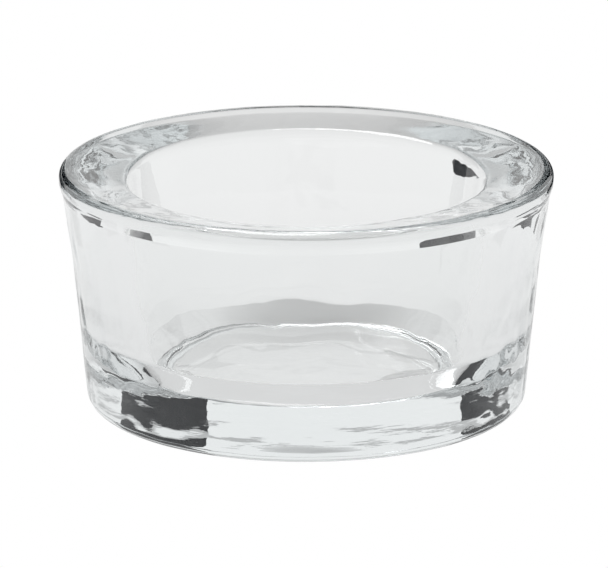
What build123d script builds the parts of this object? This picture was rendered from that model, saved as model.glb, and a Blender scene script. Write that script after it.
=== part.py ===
from build123d import *
import math
import os

# Tealight holder pressed from one gob of clear glass: a heavy, slightly flared cup with a
# rounded bead round its mouth. Millimetres, +Z up, origin at the centre of the resting face.

# Overall
rim_radius = 32.5
height = 32.1

# Outside wall, from the resting ring up
base_radius = 28.9
heel_radius = 2.0
shoulder_radius = 30.85
shoulder_height = 20.5
shoulder_blend = 40.0

# Bead round the mouth, left by the ring of the press mould, with a fine groove under it
groove_radius = 32.1
groove_height = 29.0
groove_blend = 0.3
bead_foot_height = 30.2
bead_foot_blend = 1.4
rim_corner_radius = 1.1

# Top of the rim, which dips towards the mouth
rim_dip = 10.5
mouth_radius = 23.4
mouth_edge_radius = 1.4

# Well for the candle: a tapered wall, a crease, and a short slope down to the flat floor
crease_radius = 20.9
crease_height = 9.8
crease_blend = 0.4
well_foot_radius = 18.0
well_foot_blend = 2.2
floor_thickness = 6.1

# Underside: a shallow flat recess inside a flat resting ring
recess_radius = 23.2
recess_depth = 0.5
recess_blend = 2.0
ring_radius = 25.6
ring_blend = 1.0

os.makedirs("parts", exist_ok=True)


def rim_corner_height():
    """Height of the rim's sharp outer corner, whose rounding peaks at the overall height."""
    dip = math.radians(rim_dip)
    return height + rim_corner_radius * (math.tan(dip) + 1 / math.cos(dip) - 1)


def make_glass_body():
    """Revolve the half section of the pressed glass about the vertical axis."""
    top = rim_corner_height()
    mouth_height = top - (rim_radius - mouth_radius) * math.tan(math.radians(rim_dip))
    underside_centre = (0, recess_depth)
    floor_centre = (0, floor_thickness)

    # Corners of the section, each with the radius that rounds it: from under the base, up the
    # outside and over the rim, then down the well.
    corners = [
        ((recess_radius, recess_depth), recess_blend),
        ((ring_radius, 0), ring_blend),
        ((base_radius, 0), heel_radius),
        ((shoulder_radius, shoulder_height), shoulder_blend),
        ((groove_radius, groove_height), groove_blend),
        ((rim_radius, bead_foot_height), bead_foot_blend),
        ((rim_radius, top), rim_corner_radius),
        ((mouth_radius, mouth_height), mouth_edge_radius),
        ((crease_radius, crease_height), crease_blend),
        ((well_foot_radius, floor_thickness), well_foot_blend),
    ]
    points = [underside_centre] + [point for point, radius in corners] + [floor_centre]
    radii = [radius for point, radius in corners]

    with BuildPart() as glass_body:
        with BuildSketch(Plane.XZ):
            with BuildLine():
                FilletPolyline(*points, radius=radii)
                Line(floor_centre, underside_centre)
            make_face()
        revolve(axis=Axis.Z)
    return glass_body


glass_body = make_glass_body()
glass_body.part.label = "glass_body"
export_step(glass_body.part, "parts/glass_body.step")

size = glass_body.part.bounding_box().size
print("overall", round(size.X, 3), round(size.Y, 3), round(size.Z, 3))
print("volume cm3", round(glass_body.part.volume / 1000, 2))
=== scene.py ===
"""Tealight holder pressed in clear glass, standing on a pale light table.

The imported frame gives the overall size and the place. This file builds the glass again as one
closed, finely divided body with the slight unevenness that pressing leaves, gives it a clear
glass finish, and sets a plain studio round it. Everything is in metres, +Z up.
"""

import logging
import math
from dataclasses import dataclass
from enum import Enum
from typing import NamedTuple

import bpy
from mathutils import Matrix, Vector, noise


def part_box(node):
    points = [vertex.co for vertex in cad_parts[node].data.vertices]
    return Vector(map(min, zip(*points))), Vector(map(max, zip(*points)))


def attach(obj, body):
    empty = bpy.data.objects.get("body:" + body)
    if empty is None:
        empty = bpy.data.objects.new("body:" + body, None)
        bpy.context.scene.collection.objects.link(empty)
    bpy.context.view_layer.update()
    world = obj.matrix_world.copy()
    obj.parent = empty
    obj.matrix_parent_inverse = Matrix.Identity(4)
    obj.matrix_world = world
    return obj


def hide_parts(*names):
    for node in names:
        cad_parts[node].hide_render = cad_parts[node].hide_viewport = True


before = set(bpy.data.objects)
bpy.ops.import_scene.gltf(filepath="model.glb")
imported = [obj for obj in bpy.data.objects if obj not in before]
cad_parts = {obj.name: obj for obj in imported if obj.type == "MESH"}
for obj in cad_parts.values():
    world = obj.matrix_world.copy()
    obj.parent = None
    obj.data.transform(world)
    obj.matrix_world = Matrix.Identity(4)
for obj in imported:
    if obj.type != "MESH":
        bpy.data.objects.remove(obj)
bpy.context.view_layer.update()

LOG = logging.getLogger("tealight_holder")
MM = 0.001
CAD_NODE = "glass_body"

Point = tuple[float, float]
Colour = tuple[float, float, float, float]


# ---------------------------------------------------------------------------------------------
# Small helpers for meshes, nodes and smooth steps
# ---------------------------------------------------------------------------------------------


def smooth_step(start: float, end: float, value: float) -> float:
    """Rise smoothly from 0 at start to 1 at end.

    Args:
        start: value at which the step begins.
        end: value at which it is complete.
        value: where the step is read.

    Returns:
        A number from 0 to 1.
    """
    share = min(1.0, max(0.0, (value - start) / (end - start)))
    return share * share * (3.0 - 2.0 * share)


def add_mesh_object(name: str, vertices: list, faces: list, smooth: bool) -> bpy.types.Object:
    """Make a mesh object and link it to the scene.

    Args:
        name: name of the object and its mesh.
        vertices: vertex positions in metres.
        faces: tuples of vertex indices.
        smooth: whether the faces are shaded smooth.

    Returns:
        The new object, at the origin.
    """
    mesh = bpy.data.meshes.new(name)
    mesh.from_pydata(vertices, [], faces)
    mesh.polygons.foreach_set("use_smooth", [smooth] * len(mesh.polygons))
    mesh.update()
    piece = bpy.data.objects.new(name, mesh)
    bpy.context.scene.collection.objects.link(piece)
    return piece


class NodeBoard:
    """A material or world node tree, cleared and ready to be filled."""

    def __init__(self, owner: bpy.types.ID) -> None:
        """Clear the owner's node tree and keep it."""
        owner.use_nodes = True
        self.tree = owner.node_tree
        self.tree.nodes.clear()

    def add(self, kind: str, inputs: dict | None = None, **settings: object) -> bpy.types.Node:
        """Add one node.

        Args:
            kind: Blender's name of the node type.
            inputs: a number, a colour, or an output socket to link, for each named input.
            **settings: attributes set on the node itself.

        Returns:
            The new node.
        """
        node = self.tree.nodes.new(kind)
        for name, value in settings.items():
            setattr(node, name, value)
        for name, value in (inputs or {}).items():
            if isinstance(value, bpy.types.NodeSocket):
                self.tree.links.new(value, node.inputs[name])
            else:
                node.inputs[name].default_value = value
        return node

    def grey_ramp(self, value: bpy.types.NodeSocket, stops: tuple[Point, ...]) -> bpy.types.NodeSocket:
        """Turn a value from 0 to 1 into a grey.

        Args:
            value: the socket to read.
            stops: position and brightness of each stop, in order.

        Returns:
            The ramp's colour.
        """
        ramp = self.add("ShaderNodeValToRGB", {"Fac": value})
        elements = ramp.color_ramp.elements
        elements.remove(elements[1])
        for index, (position, level) in enumerate(stops):
            stop = elements.new(position) if index else elements[0]
            stop.position = position
            stop.color = (level, level, level, 1.0)
        return ramp.outputs["Color"]


# ---------------------------------------------------------------------------------------------
# The section of the glass
# ---------------------------------------------------------------------------------------------


class Zone(Enum):
    """Stretches of the skin of the glass, each with its own unevenness."""

    UNDERSIDE = "underside"
    OUTSIDE = "outside"
    BEAD = "bead"
    RIM_TOP = "rim top"
    WELL_WALL = "well wall"
    WELL_FLOOR = "well floor"


class Corner(NamedTuple):
    """A corner of the section: its place, the radius that rounds it, and the zone after it."""

    radius: float
    height: float
    blend: float
    zone: Zone


class SkinPoint(NamedTuple):
    """A point on the rounded section, its outward normal and its zone."""

    radius: float
    height: float
    normal: Point
    zone: Zone


def round_corner(before: Corner, corner: Corner, after: Point, turn_step: float) -> list[Point]:
    """Replace a corner by points along the arc that rounds it.

    Args:
        before: the corner before it.
        corner: the corner to round.
        after: the point after it.
        turn_step: most that the arc turns between two points, in radians.

    Returns:
        Points along the arc, from the side of before to the side of after.
    """
    here = Vector((corner.radius, corner.height))
    back = (Vector((before.radius, before.height)) - here).normalized()
    ahead = (Vector(after) - here).normalized()
    opening = math.acos(max(-1.0, min(1.0, back.dot(ahead))))
    centre = here + (back + ahead).normalized() * (corner.blend / math.sin(opening / 2))
    reach = corner.blend / math.tan(opening / 2)
    first = here + back * reach - centre
    last = here + ahead * reach - centre
    start = math.atan2(first.y, first.x)
    turn = (math.atan2(last.y, last.x) - start + math.pi) % (2 * math.pi) - math.pi
    count = max(2, math.ceil(abs(turn) / turn_step))
    angles = [start + turn * step / count for step in range(count + 1)]
    return [(centre.x + corner.blend * math.cos(a), centre.y + corner.blend * math.sin(a)) for a in angles]


@dataclass(frozen=True)
class GlassSection:
    """Half section of the glass as it left the press, from under the base round to the well floor.

    The rim's radius and the height come from the frame, and the rest are the sizes of the
    holder's own wall, bead, well and recessed underside.

    Attributes:
        point_spacing: most that two points of the section lie apart, in metres.
        turn_step: most that the section turns between two points of a rounded corner, in radians.
    """

    rim_radius: float
    height: float
    base_radius: float = 28.9 * MM
    heel_blend: float = 2.0 * MM
    shoulder_radius: float = 30.85 * MM
    shoulder_height: float = 20.5 * MM
    shoulder_blend: float = 40.0 * MM
    groove_radius: float = 32.1 * MM
    groove_height: float = 29.0 * MM
    groove_blend: float = 0.3 * MM
    bead_foot_height: float = 30.2 * MM
    bead_foot_blend: float = 1.4 * MM
    rim_corner_blend: float = 1.1 * MM
    rim_dip: float = math.radians(10.5)
    mouth_radius: float = 23.4 * MM
    mouth_blend: float = 1.4 * MM
    well_crease_radius: float = 20.9 * MM
    well_crease_height: float = 9.8 * MM
    well_crease_blend: float = 0.4 * MM
    well_foot_radius: float = 18.0 * MM
    well_foot_blend: float = 2.2 * MM
    floor_thickness: float = 6.1 * MM
    recess_radius: float = 23.2 * MM
    recess_blend: float = 2.0 * MM
    recess_depth: float = 0.5 * MM
    ring_radius: float = 25.6 * MM
    ring_blend: float = 1.0 * MM
    point_spacing: float = 0.46 * MM
    turn_step: float = math.radians(7.0)

    def rim_corner_height(self) -> float:
        """Return the height of the sharp outer corner whose rounding peaks at the full height."""
        slack = math.tan(self.rim_dip) + 1 / math.cos(self.rim_dip) - 1
        return self.height + self.rim_corner_blend * slack

    def corners(self) -> list[Corner]:
        """Return the corners between the middle of the underside and the middle of the well floor."""
        top = self.rim_corner_height()
        mouth_height = top - (self.rim_radius - self.mouth_radius) * math.tan(self.rim_dip)
        return [
            Corner(self.recess_radius, self.recess_depth, self.recess_blend, Zone.UNDERSIDE),
            Corner(self.ring_radius, 0.0, self.ring_blend, Zone.UNDERSIDE),
            Corner(self.base_radius, 0.0, self.heel_blend, Zone.OUTSIDE),
            Corner(self.shoulder_radius, self.shoulder_height, self.shoulder_blend, Zone.OUTSIDE),
            Corner(self.groove_radius, self.groove_height, self.groove_blend, Zone.BEAD),
            Corner(self.rim_radius, self.bead_foot_height, self.bead_foot_blend, Zone.BEAD),
            Corner(self.rim_radius, top, self.rim_corner_blend, Zone.RIM_TOP),
            Corner(self.mouth_radius, mouth_height, self.mouth_blend, Zone.WELL_WALL),
            Corner(self.well_crease_radius, self.well_crease_height, self.well_crease_blend, Zone.WELL_FLOOR),
            Corner(self.well_foot_radius, self.floor_thickness, self.well_foot_blend, Zone.WELL_FLOOR),
        ]

    def rounded(self) -> list[tuple[Point, Zone]]:
        """Return the section's corner points and arcs, each with its zone."""
        corners = self.corners()
        before = Corner(0.0, self.recess_depth, 0.0, Zone.UNDERSIDE)
        path = [(before[:2], before.zone)]
        for index, corner in enumerate(corners):
            last = index + 1 == len(corners)
            after = (0.0, self.floor_thickness) if last else corners[index + 1][:2]
            arc = round_corner(before, corner, after, self.turn_step)
            half = len(arc) // 2
            path += [(point, before.zone) for point in arc[:half]]
            path += [(point, corner.zone) for point in arc[half:]]
            before = corner
        path.append(((0.0, self.floor_thickness), Zone.WELL_FLOOR))
        return path

    def skin(self) -> list[SkinPoint]:
        """Return the whole section in even steps, with the outward normal at each point."""
        path = self.rounded()
        spaced = [path[0]]
        for (point, zone) in path[1:]:
            start = spaced[-1][0]
            steps = max(1, math.ceil(math.dist(start, point) / self.point_spacing))
            for step in range(1, steps + 1):
                share = step / steps
                spaced.append(((start[0] + (point[0] - start[0]) * share,
                                start[1] + (point[1] - start[1]) * share), zone))
        return [self.skin_point(spaced, index) for index in range(len(spaced))]

    @staticmethod
    def skin_point(spaced: list[tuple[Point, Zone]], index: int) -> SkinPoint:
        """Give one spaced point its normal.

        Args:
            spaced: the section in even steps, with zones.
            index: which point.

        Returns:
            The point with the normal that faces out of the glass.
        """
        (radius, height), zone = spaced[index]
        before = spaced[max(0, index - 1)][0]
        after = spaced[min(len(spaced) - 1, index + 1)][0]
        along = Vector((after[0] - before[0], after[1] - before[1])).normalized()
        on_axis = index in (0, len(spaced) - 1)
        normal = (0.0, math.copysign(1.0, -along.x)) if on_axis else (along.y, -along.x)
        return SkinPoint(radius, height, normal, zone)


# ---------------------------------------------------------------------------------------------
# Unevenness of the pressed glass
# ---------------------------------------------------------------------------------------------


# How a ripple is read from the noise: the way that its shift goes, the size of its curls, the
# shift of its finer octave, and the span of the sum of the two octaves
SHIFT_WAY = Vector((1.0, 1.7, 0.6))
SWIRL_SCALE = 0.7
OCTAVE_SHIFT = Vector((3.1, 7.7, 1.9))
WAVE_SPAN = 1.6


@dataclass(frozen=True)
class Ripple:
    """One layer of unevenness, which sinks into the glass and never stands above its skin.

    Attributes:
        zone: the stretch of skin that it lies on.
        depth: most that it sinks, in metres.
        across: its wavelength across the plan of the holder, in metres.
        up: its wavelength along the height, in metres.
        swirl: how far it curls round itself, as a share of its wavelength.
        shift: where in the pattern it is read, so that no two layers match.
        facing: azimuth of the middle of the side that it keeps to, in radians from +X, or None
            where it goes all the way round.
        spread: half the width of that side, in radians.
        fade_above: height above which it has faded out, in metres, or None.
    """

    zone: Zone
    depth: float
    across: float
    up: float
    swirl: float = 0.0
    shift: float = 0.0
    facing: float | None = None
    spread: float = math.radians(30.0)
    fade_above: float | None = None

    def sink(self, place: Vector) -> float:
        """Return how far the skin sinks at a place.

        Args:
            place: a point on the even skin, in metres.

        Returns:
            A length from 0 to the full depth.
        """
        strength = self.depth * self.side_share(place) * self.height_share(place)
        if strength == 0.0:
            return 0.0
        probe = Vector((place.x / self.across, place.y / self.across, place.z / self.up))
        probe += SHIFT_WAY * self.shift
        if self.swirl:
            probe += noise.noise_vector(probe * SWIRL_SCALE) * self.swirl
        wave = noise.noise(probe) + 0.5 * noise.noise(probe * 2.0 + OCTAVE_SHIFT)
        return strength * min(1.0, max(0.0, 0.5 + wave / WAVE_SPAN))

    def side_share(self, place: Vector) -> float:
        """Return 1 in the middle of the side that the ripple keeps to, falling to 0 past it."""
        if self.facing is None:
            return 1.0
        away = abs((math.atan2(place.y, place.x) - self.facing + math.pi) % math.tau - math.pi)
        return 1.0 - smooth_step(0.6 * self.spread, self.spread, away)

    def height_share(self, place: Vector) -> float:
        """Return 1 low on the glass, falling to 0 at the height where the ripple has faded."""
        if self.fade_above is None:
            return 1.0
        return 1.0 - smooth_step(0.3 * self.fade_above, self.fade_above, place.z)


# Sides of the holder that carry marks of their own, as azimuths from +X
LEFT_SIDE = math.radians(-160.0)
LEFT_FRONT = math.radians(-128.0)
RIGHT_FRONT = math.radians(-36.0)
RIGHT_SIDE = math.radians(-25.0)

RIPPLES = (
    # Slow waves that the mould and the plunger leave all over
    Ripple(Zone.OUTSIDE, 0.05 * MM, 16 * MM, 10 * MM, shift=1.0),
    Ripple(Zone.WELL_WALL, 0.16 * MM, 11 * MM, 16 * MM, swirl=0.4, shift=5.0),
    Ripple(Zone.WELL_FLOOR, 0.09 * MM, 10 * MM, 10 * MM, swirl=0.5, shift=9.0),
    Ripple(Zone.RIM_TOP, 0.07 * MM, 8 * MM, 8 * MM, swirl=1.6, shift=13.0),
    Ripple(Zone.UNDERSIDE, 0.02 * MM, 7 * MM, 7 * MM, shift=17.0),
    # Finer chill marks: level streaks low on the outside, curls in the well and round the mouth
    Ripple(Zone.OUTSIDE, 0.035 * MM, 8 * MM, 1.4 * MM, shift=21.0, fade_above=16 * MM),
    Ripple(Zone.WELL_WALL, 0.02 * MM, 3.0 * MM, 4.5 * MM, swirl=1.3, shift=25.0),
    Ripple(Zone.RIM_TOP, 0.035 * MM, 3.6 * MM, 3.6 * MM, swirl=2.4, shift=33.0),
    # Where the gob was sheared and first touched the mould: grain, folds and torn-looking streaks
    Ripple(Zone.OUTSIDE, 0.11 * MM, 2.6 * MM, 4.5 * MM, swirl=0.8, shift=41.0,
           facing=RIGHT_SIDE, spread=math.radians(22.0)),
    Ripple(Zone.OUTSIDE, 0.12 * MM, 3.4 * MM, 12 * MM, swirl=0.5, shift=45.0,
           facing=LEFT_SIDE, spread=math.radians(20.0)),
    Ripple(Zone.OUTSIDE, 0.075 * MM, 3.4 * MM, 1.2 * MM, swirl=0.4, shift=49.0,
           facing=LEFT_FRONT, spread=math.radians(26.0), fade_above=13 * MM),
    Ripple(Zone.OUTSIDE, 0.05 * MM, 1.8 * MM, 1.2 * MM, swirl=0.4, shift=53.0,
           facing=RIGHT_FRONT, spread=math.radians(20.0), fade_above=13 * MM),
)


@dataclass
class GlassBody:
    """The one piece of the holder: a heavy flared cup of clear glass.

    Attributes:
        section: the half section that is turned about the axis.
        ripples: the layers of unevenness on its skin.
        around: number of steps round the axis.
        fade_points: number of section points over which a ripple fades past its zone.
        name: name of the piece.
        seed: fixes the curls of the ripples, so that every run gives the same skin.
    """

    section: GlassSection
    ripples: tuple[Ripple, ...] = RIPPLES
    around: int = 320
    fade_points: int = 4
    name: str = "pressed_glass"
    seed: int = 7

    def zone_shares(self, skin: list[SkinPoint]) -> dict[Zone, list[float]]:
        """Say how much of each zone's unevenness every section point takes.

        Args:
            skin: the section's points.

        Returns:
            For each zone, a share from 0 to 1 for every point, softened at the zone's ends.
        """
        shares = {}
        for zone in Zone:
            inside = [1.0 if point.zone is zone else 0.0 for point in skin]
            soft = []
            for index in range(len(inside)):
                window = inside[max(0, index - self.fade_points): index + self.fade_points + 1]
                soft.append(sum(window) / len(window))
            shares[zone] = soft
        return shares

    def ring(self, point: SkinPoint, shares: dict[Zone, float]) -> list[Vector]:
        """Turn one section point about the axis and sink it by the ripples.

        Args:
            point: the section point.
            shares: how much of each zone's unevenness it takes.

        Returns:
            The ring's vertices, or one vertex on the axis.
        """
        layers = [(ripple, shares[ripple.zone]) for ripple in self.ripples if shares[ripple.zone] > 0.0]
        count = self.around if point.radius > 0.0 else 1
        vertices = []
        for step in range(count):
            angle = math.tau * step / count
            outward = Vector((math.cos(angle), math.sin(angle), 0.0))
            place = outward * point.radius + Vector((0.0, 0.0, point.height))
            normal = outward * point.normal[0] + Vector((0.0, 0.0, point.normal[1]))
            depth = sum(ripple.sink(place) * share for ripple, share in layers)
            if count == 1:
                normal.x = normal.y = 0.0
            vertices.append(place - normal * depth)
        return vertices

    def build(self) -> bpy.types.Object:
        """Build the closed body of the glass.

        Returns:
            The glass, in the place of its CAD node and riding on the root body.
        """
        noise.seed_set(self.seed)
        skin = self.section.skin()
        shares = self.zone_shares(skin)
        vertices: list[Vector] = []
        rings: list[list[int]] = []
        for index, point in enumerate(skin):
            ring = self.ring(point, {zone: shares[zone][index] for zone in Zone})
            rings.append(list(range(len(vertices), len(vertices) + len(ring))))
            vertices += ring
        faces = []
        for inner, outer in zip(rings[:-1], rings[1:]):
            faces += self.band(inner, outer)
        glass = add_mesh_object(self.name, vertices, faces, smooth=True)
        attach(glass, "root")
        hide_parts(CAD_NODE)
        return glass

    def band(self, inner: list[int], outer: list[int]) -> list[tuple[int, ...]]:
        """Join two neighbouring rings, of which one may be a single point on the axis.

        Args:
            inner: vertex indices of the ring that comes first along the section.
            outer: vertex indices of the next ring.

        Returns:
            Faces that look out of the glass.
        """
        faces = []
        for step in range(self.around):
            following = (step + 1) % self.around
            if len(inner) == 1:
                faces.append((inner[0], outer[following], outer[step]))
            elif len(outer) == 1:
                faces.append((inner[step], inner[following], outer[0]))
            else:
                faces.append((inner[step], inner[following], outer[following], outer[step]))
        return faces

    def dress(self, glass: bpy.types.Object, finish: "ClearGlass") -> None:
        """Give the glass its finish."""
        glass.data.materials.append(finish.material())


# ---------------------------------------------------------------------------------------------
# Finishes
# ---------------------------------------------------------------------------------------------


@dataclass(frozen=True)
class ClearGlass:
    """Clear pressed glass: fire-polished, with a faint grey-green body tint.

    Attributes:
        name: name of the material.
        ior: refractive index of soda-lime glass.
        tint: colour that the glass tends to through its depth.
        tint_density: how fast it does, per metre.
        polish: lowest and highest roughness of the skin.
        chill: wavelength and height of the finest marks, in metres.
        streaks: wavelength up the wall and height of the level streaks low on the glass.
        streak_stretch: how many times longer than high a streak is.
        streak_top: height at which the streaks have faded out.
        orange_peel: wavelength and height of the broader grain, in metres.
    """

    name: str = "clear_pressed_glass"
    ior: float = 1.52
    tint: Colour = (0.86, 0.88, 0.885, 1.0)
    tint_density: float = 25.0
    polish: tuple[float, float] = (0.0, 0.012)
    chill: tuple[float, float] = (0.7 * MM, 0.0006 * MM)
    streaks: tuple[float, float] = (0.45 * MM, 0.006 * MM)
    streak_stretch: float = 12.0
    streak_top: float = 13.0 * MM
    orange_peel: tuple[float, float] = (2.2 * MM, 0.0012 * MM)

    def material(self) -> bpy.types.Material:
        """Return the finished material."""
        material = bpy.data.materials.new(self.name)
        board = NodeBoard(material)
        place = board.add("ShaderNodeTexCoord").outputs["Object"]
        roughness = self.polish_map(board, place)
        normal = self.relief(board, place)
        colour = self.surface_colour(board, place)
        surface = board.add("ShaderNodeBsdfPrincipled", {
            "Base Color": colour,
            "Roughness": roughness,
            "Normal": normal,
            "IOR": self.ior,
            "Transmission Weight": 1.0,
            "Metallic": 0.0,
        })
        depth = board.add("ShaderNodeVolumeAbsorption", {"Color": self.tint, "Density": self.tint_density})
        board.add("ShaderNodeOutputMaterial", {"Surface": surface.outputs["BSDF"],
                                               "Volume": depth.outputs["Volume"]})
        return material

    def polish_map(self, board: NodeBoard, place: bpy.types.NodeSocket) -> bpy.types.NodeSocket:
        """Vary the polish slowly over the skin.

        Args:
            board: the material's nodes.
            place: position on the glass, in metres.

        Returns:
            A roughness.
        """
        cloud = board.add("ShaderNodeTexNoise", {"Vector": place, "Scale": 1 / (9 * MM), "Detail": 3.0})
        lowest, highest = self.polish
        spread = board.add("ShaderNodeMapRange", {"Value": cloud.outputs["Fac"], "From Min": 0.45,
                                                  "From Max": 0.75, "To Min": lowest, "To Max": highest})
        return spread.outputs["Result"]

    def relief(self, board: NodeBoard, place: bpy.types.NodeSocket) -> bpy.types.NodeSocket:
        """Lay fine chill marks and a broader grain over the mesh's own ripples.

        Args:
            board: the material's nodes.
            place: position on the glass, in metres.

        Returns:
            A normal.
        """
        normal = None
        for wavelength, height in (self.orange_peel, self.chill):
            grain = board.add("ShaderNodeTexNoise", {"Vector": place, "Scale": 1 / wavelength, "Detail": 2.0})
            bump = board.add("ShaderNodeBump", {"Height": grain.outputs["Fac"], "Distance": height,
                                                "Strength": 1.0})
            if normal is not None:
                board.tree.links.new(normal, bump.inputs["Normal"])
            normal = bump.outputs["Normal"]
        return self.level_streaks(board, place, normal)

    def level_streaks(self, board: NodeBoard, place: bpy.types.NodeSocket,
                      normal: bpy.types.NodeSocket) -> bpy.types.NodeSocket:
        """Add long level streaks low on the glass, where it chilled first against the mould.

        Args:
            board: the material's nodes.
            place: position on the glass, in metres.
            normal: the normal to work on.

        Returns:
            A normal.
        """
        wavelength, height = self.streaks
        stretch = (1 / self.streak_stretch, 1 / self.streak_stretch, 1.0)
        drawn_out = board.add("ShaderNodeVectorMath", {0: place, 1: stretch}, operation="MULTIPLY")
        streak = board.add("ShaderNodeTexNoise", {"Vector": drawn_out.outputs["Vector"],
                                                  "Scale": 1 / wavelength, "Detail": 2.0,
                                                  "Distortion": 0.3})
        axes = board.add("ShaderNodeSeparateXYZ", {"Vector": place})
        low = board.add("ShaderNodeMapRange", {"Value": axes.outputs["Z"], "From Min": 0.4 * self.streak_top,
                                               "From Max": self.streak_top, "To Min": 1.0, "To Max": 0.0})
        bump = board.add("ShaderNodeBump", {"Height": streak.outputs["Fac"], "Distance": height,
                                            "Strength": low.outputs["Result"], "Normal": normal})
        return bump.outputs["Normal"]

    def surface_colour(self, board: NodeBoard, place: bpy.types.NodeSocket) -> bpy.types.NodeSocket:
        """Give the skin the faintest cloudy change of colour.

        Args:
            board: the material's nodes.
            place: position on the glass, in metres.

        Returns:
            A colour close to white.
        """
        cloud = board.add("ShaderNodeTexNoise", {"Vector": place, "Scale": 1 / (14 * MM), "Detail": 2.0})
        ramp = board.add("ShaderNodeValToRGB", {"Fac": cloud.outputs["Fac"]})
        ramp.color_ramp.elements[0].color = (0.985, 0.995, 0.992, 1.0)
        ramp.color_ramp.elements[1].color = (1.0, 1.0, 1.0, 1.0)
        return ramp.outputs["Color"]


# ---------------------------------------------------------------------------------------------
# Studio
# ---------------------------------------------------------------------------------------------


class CardRow(NamedTuple):
    """The edges of a card at one height: azimuths from +Y towards +X, in radians."""

    height: float
    left: float
    right: float


BLACK = (0.004, 0.005, 0.008, 1.0)
WHITE = (1.0, 1.0, 1.0, 1.0)


@dataclass(frozen=True)
class Card:
    """A card that stands behind the glass, curved round it: black, or a strip of grey or white.

    Attributes:
        name: name of the card and its finish.
        rows: its edges at each height, from the lowest up.
        distance: how far it stands from the axis of the holder, in metres.
        columns: number of flat steps in its curve.
        shade: its colour.
        strength: its brightness.
    """

    name: str
    rows: tuple[CardRow, ...]
    distance: float = 120 * MM
    columns: int = 12
    shade: Colour = BLACK
    strength: float = 1.0

    def build(self) -> bpy.types.Object:
        """Build the card, curved round the holder, unseen by the camera itself."""
        vertices = []
        for row in self.rows:
            for column in range(self.columns + 1):
                azimuth = row.left + (row.right - row.left) * column / self.columns
                along = self.distance * math.cos(azimuth)
                aside = self.distance * math.sin(azimuth)
                vertices.append((aside, along, row.height))
        width = self.columns + 1
        faces = []
        for level in range(len(self.rows) - 1):
            for column in range(self.columns):
                low = level * width + column
                faces.append((low, low + 1, low + 1 + width, low + width))
        card = add_mesh_object(self.name, vertices, faces, smooth=False)
        card.visible_camera = False
        card.visible_diffuse = False
        card.visible_shadow = False
        card.data.materials.append(self.finish())
        return card

    def finish(self) -> bpy.types.Material:
        """Return the card's own plain finish."""
        material = bpy.data.materials.new(self.name)
        board = NodeBoard(material)
        glow = board.add("ShaderNodeEmission", {"Color": self.shade, "Strength": self.strength})
        board.add("ShaderNodeOutputMaterial", {"Surface": glow.outputs["Emission"]})
        return material


def degrees_row(height: float, left: float, right: float) -> CardRow:
    """Make a card row from a height in metres and azimuths in degrees."""
    return CardRow(height, math.radians(left), math.radians(right))


def level_strip(name: str, foot: float, head: float, strength: float) -> Card:
    """Make a level strip that crosses in front of the black cards.

    Args:
        name: name of the strip.
        foot: height of its lower edge, in metres.
        head: height of its upper edge, in metres.
        strength: its brightness.

    Returns:
        The strip, which breaks the cards' dark reflections in the base into streaks.
    """
    rows = (degrees_row(foot, -70, 70), degrees_row(head, -70, 70))
    return Card(name, rows, distance=118 * MM, columns=48, shade=WHITE, strength=strength)


CARD_KNEE = 22 * MM
CARD_HEAD = 160 * MM
CARDS = (
    Card("black_card_right", (degrees_row(0.0, 20, 46), degrees_row(CARD_KNEE, 13, 36),
                              degrees_row(CARD_HEAD, 13, 35))),
    Card("black_card_left", (degrees_row(0.0, -52, -33), degrees_row(CARD_KNEE, -47, -25),
                             degrees_row(CARD_HEAD, -47, -25))),
    level_strip("grey_strip", 36.0 * MM, 38.5 * MM, strength=0.55),
    level_strip("pale_strip", 38.5 * MM, 42 * MM, strength=0.95),
)


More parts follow.
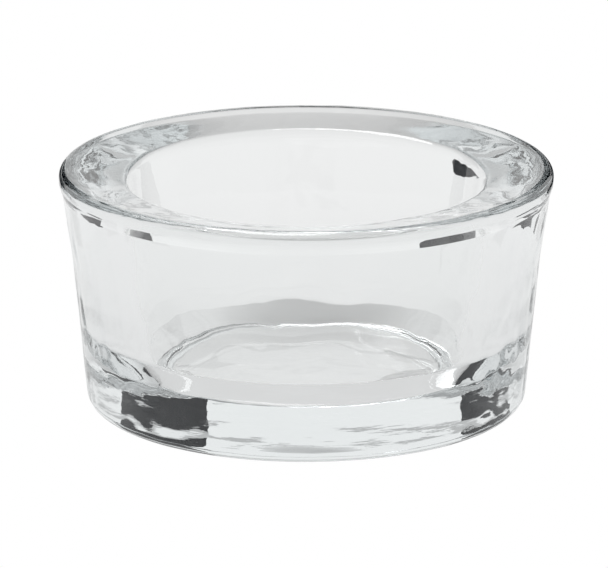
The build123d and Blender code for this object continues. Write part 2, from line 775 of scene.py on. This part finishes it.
@dataclass(frozen=True)
class Studio:
    """A pale light table under soft light, with cards behind the glass.

    Brightness is given in stops, each a position from 0 to 1 and a level.

    Attributes:
        centre: the middle of the holder, in metres.
        floor_half: half the width of the table.
        air_gap: air left under the resting ring.
        glow_reach: distance from the axis at which the table's glow is at its last stop.
        glow: brightness of the table from the axis out, dimmer close round the glass in a painted contact
            shadow.
        painted_shadow_place: middle of the painted shadow on the table just behind the glass.
        painted_shadow_reach: radius of that painted shadow.
        shade: what the painted shadow leaves of the glow, from its middle out.
        room: brightness of the room along Y, from behind the camera to behind the glass.
        ceiling: what is left of that brightness along Z, from straight down to straight up.
        softbox_place: place of the softbox from the middle of the holder.
        softbox_size: width and depth of the softbox.
        softbox_power: power of the softbox, in watts.
        camera_distance: distance of the camera from the middle of the holder.
        camera_elevation: how far the camera looks down, in radians.
        sensor: width of the camera's sensor, in millimetres.
        lens: focal length, in millimetres.
        aim_shift: how far the camera aims to the side of the middle and above it.
    """

    centre: Vector
    floor_half: float = 3.0
    air_gap: float = 0.05 * MM
    glow_reach: float = 220 * MM
    # The dip near the axis is a painted contact shadow round the glass
    glow: tuple[Point, ...] = ((0.0, 0.76), (0.115, 0.73), (0.135, 0.76), (0.15, 0.78), (0.18, 0.82),
                               (0.27, 0.85), (0.45, 0.88), (0.64, 0.90), (1.0, 0.96))
    # A painted shadow on the table just behind the glass
    painted_shadow_place: tuple[float, float, float] = (3 * MM, 32 * MM, 0.0)
    painted_shadow_reach: float = 22 * MM
    shade: tuple[Point, ...] = ((0.0, 0.60), (0.4, 0.68), (1.0, 1.0))
    room: tuple[Point, ...] = ((0.0, 0.58), (0.4, 0.72), (0.62, 0.97), (1.0, 1.0))
    ceiling: tuple[Point, ...] = ((0.0, 1.0), (0.70, 1.0), (0.85, 0.55), (1.0, 0.5))
    softbox_place: tuple[float, float, float] = (-0.25, 0.45, 0.9)
    softbox_size: tuple[float, float] = (0.7, 0.4)
    softbox_power: float = 4.0
    camera_distance: float = 0.9237
    camera_elevation: float = math.radians(16.19)
    sensor: float = 36.0
    lens: float = 414.5
    aim_shift: Point = (-0.30 * MM, -0.11 * MM)

    def build(self) -> None:
        """Build the table, the cards, the light and the camera."""
        self.build_floor()
        for card in CARDS:
            card.build()
        self.build_room()
        self.build_softbox()
        self.build_camera()

    def build_floor(self) -> bpy.types.Object:
        """Build the table top, which is lit from below, with a painted shadow that leaves it a little darker
        under the glass.
        """
        half = self.floor_half
        corners = [(-half, -half), (half, -half), (half, half), (-half, half)]
        vertices = [(x, y, -self.air_gap) for x, y in corners]
        floor = add_mesh_object("floor", vertices, [(0, 1, 2, 3)], smooth=False)
        floor.data.materials.append(self.table_glow_and_painted_shadow())
        return floor

    def table_glow_and_painted_shadow(self) -> bpy.types.Material:
        """Return the table's finish: white to the camera, and to the glass dimmer close by, in painted
        shadow.

        The painted contact shadow round the holder and the painted shadow just behind it give the clear glass
        some contrast.
        """
        material = bpy.data.materials.new("light_table_painted_shadow")
        board = NodeBoard(material)
        place = board.add("ShaderNodeTexCoord").outputs["Object"]
        away = board.add("ShaderNodeVectorMath", {0: place}, operation="LENGTH")
        share = board.add("ShaderNodeMapRange", {"Value": away.outputs["Value"], "From Max": self.glow_reach})
        # Glow from the axis out, dimmer close round the holder: a painted contact shadow
        glow = board.grey_ramp(share.outputs["Result"], self.glow)
        path = board.add("ShaderNodeLightPath")
        # A painted shadow behind the glass, darkest in its middle
        aside = board.add("ShaderNodeVectorMath", {0: place, 1: self.painted_shadow_place}, operation="DISTANCE")
        near = board.add("ShaderNodeMapRange", {"Value": aside.outputs["Value"],
                                                "From Max": self.painted_shadow_reach})
        painted_shadow_dimming = board.grey_ramp(near.outputs["Result"], self.shade)
        table = board.add("ShaderNodeEmission", {"Color": glow, "Strength": painted_shadow_dimming})
        plain = board.add("ShaderNodeEmission", {"Color": WHITE, "Strength": 1.0})
        seen = board.add("ShaderNodeMixShader", {0: path.outputs["Is Camera Ray"], 1: table.outputs[0],
                                                 2: plain.outputs[0]})
        board.add("ShaderNodeOutputMaterial", {"Surface": seen.outputs[0]})
        return material

    def build_room(self) -> None:
        """Light the room, dim on the camera's side and bright behind the glass."""
        world = bpy.data.worlds.new("room")
        bpy.context.scene.world = world
        board = NodeBoard(world)
        direction = board.add("ShaderNodeTexCoord").outputs["Generated"]
        axes = board.add("ShaderNodeSeparateXYZ", {"Vector": direction})
        depth = board.add("ShaderNodeMapRange", {"Value": axes.outputs["Y"], "From Min": -1.0})
        climb = board.add("ShaderNodeMapRange", {"Value": axes.outputs["Z"], "From Min": -1.0})
        level = board.grey_ramp(depth.outputs["Result"], self.room)
        shade = board.grey_ramp(climb.outputs["Result"], self.ceiling)
        glow = board.add("ShaderNodeBackground", {"Color": level, "Strength": shade})
        board.add("ShaderNodeOutputWorld", {"Surface": glow.outputs["Background"]})

    def build_softbox(self) -> None:
        """Hang one large soft light above and behind the glass."""
        light = bpy.data.lights.new("softbox", "AREA")
        light.shape = "RECTANGLE"
        light.size, light.size_y = self.softbox_size
        light.energy = self.softbox_power
        lamp = bpy.data.objects.new("softbox", light)
        lamp.location = self.centre + Vector(self.softbox_place)
        lamp.rotation_mode = "QUATERNION"
        lamp.rotation_quaternion = (self.centre - lamp.location).to_track_quat("-Z", "Y")
        bpy.context.scene.collection.objects.link(lamp)

    def build_camera(self) -> None:
        """Stand the camera in front, a little above the rim, with a long lens."""
        elevation = self.camera_elevation
        back = Vector((0.0, -math.cos(elevation), math.sin(elevation)))
        upward = Vector((0.0, math.sin(elevation), math.cos(elevation)))
        aim = self.centre + Vector((self.aim_shift[0], 0.0, 0.0)) + upward * self.aim_shift[1]
        data = bpy.data.cameras.new("camera")
        data.sensor_width = self.sensor
        data.lens = self.lens
        data.clip_start = 0.01
        camera = bpy.data.objects.new("camera", data)
        camera.location = aim + back * self.camera_distance
        camera.rotation_mode = "QUATERNION"
        camera.rotation_quaternion = (-back).to_track_quat("-Z", "Y")
        bpy.context.scene.collection.objects.link(camera)
        bpy.context.scene.camera = camera


GLASS_BOUNCES = 24
MIRROR_BOUNCES = 12


def set_light_paths() -> None:
    """Let light pass through the many faces of the glass, and keep whites plain."""
    scene = bpy.context.scene
    scene.cycles.max_bounces = GLASS_BOUNCES
    scene.cycles.transmission_bounces = GLASS_BOUNCES
    scene.cycles.glossy_bounces = MIRROR_BOUNCES
    scene.view_settings.view_transform = "Standard"


def main() -> None:
    """Build the holder and its studio, and report each piece."""
    logging.basicConfig(level=logging.INFO, format="%(name)s: %(message)s")
    lowest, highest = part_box(CAD_NODE)
    centre = (Vector(lowest) + Vector(highest)) / 2
    section = GlassSection(rim_radius=(highest[0] - lowest[0]) / 2, height=highest[2] - lowest[2])
    holder = GlassBody(section)
    glass = holder.build()
    holder.dress(glass, ClearGlass())
    LOG.info("%s: %d faces", glass.name, len(glass.data.polygons))
    Studio(centre).build()
    LOG.info("studio: floor, %d cards, softbox and camera", len(CARDS))
    set_light_paths()


if __name__ == "__main__":
    main()
